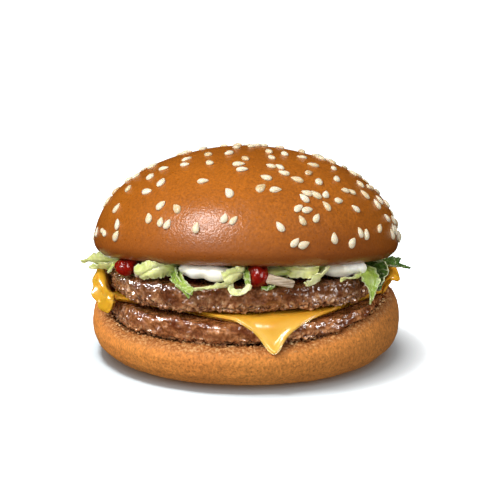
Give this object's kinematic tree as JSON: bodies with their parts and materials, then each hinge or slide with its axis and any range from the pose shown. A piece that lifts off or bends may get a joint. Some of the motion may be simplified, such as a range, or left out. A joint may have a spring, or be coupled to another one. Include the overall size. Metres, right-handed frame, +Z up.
{
  "type": "double burger",
  "caption": "Double burger: sesame bun, beef patties, melted cheese between them, and ketchup, onion, shredded lettuce and mayonnaise under the crown.",
  "frame": {"origin": "centre of the heel's flat underside", "axes": "+Z up; the side whose fillings show best faces -Y; +X is to the right as seen from that side"},
  "size_m": [0.1076, 0.105, 0.0683],
  "materials": {
    "bun_crust": "satin baked crust",
    "bun_side": "matt, porous baked side",
    "beef": "seared and moist",
    "cheese": "melted, glossy",
    "ketchup": "wet gloss",
    "onion": "moist, slightly see-through",
    "lettuce": "crisp leaf, slight sheen",
    "mayo": "wet gloss"
  },
  "bodies": {
    "root": {"bun_bottom": "bun_side", "patty_lower": "beef", "cheese": "cheese", "patty_upper": "beef", "ketchup": "ketchup", "onion_1": "onion", "onion_2": "onion", "onion_3": "onion", "lettuce": "lettuce", "mayo": "mayo", "bun_top": "bun_crust"}
  },
  "joints": []
}
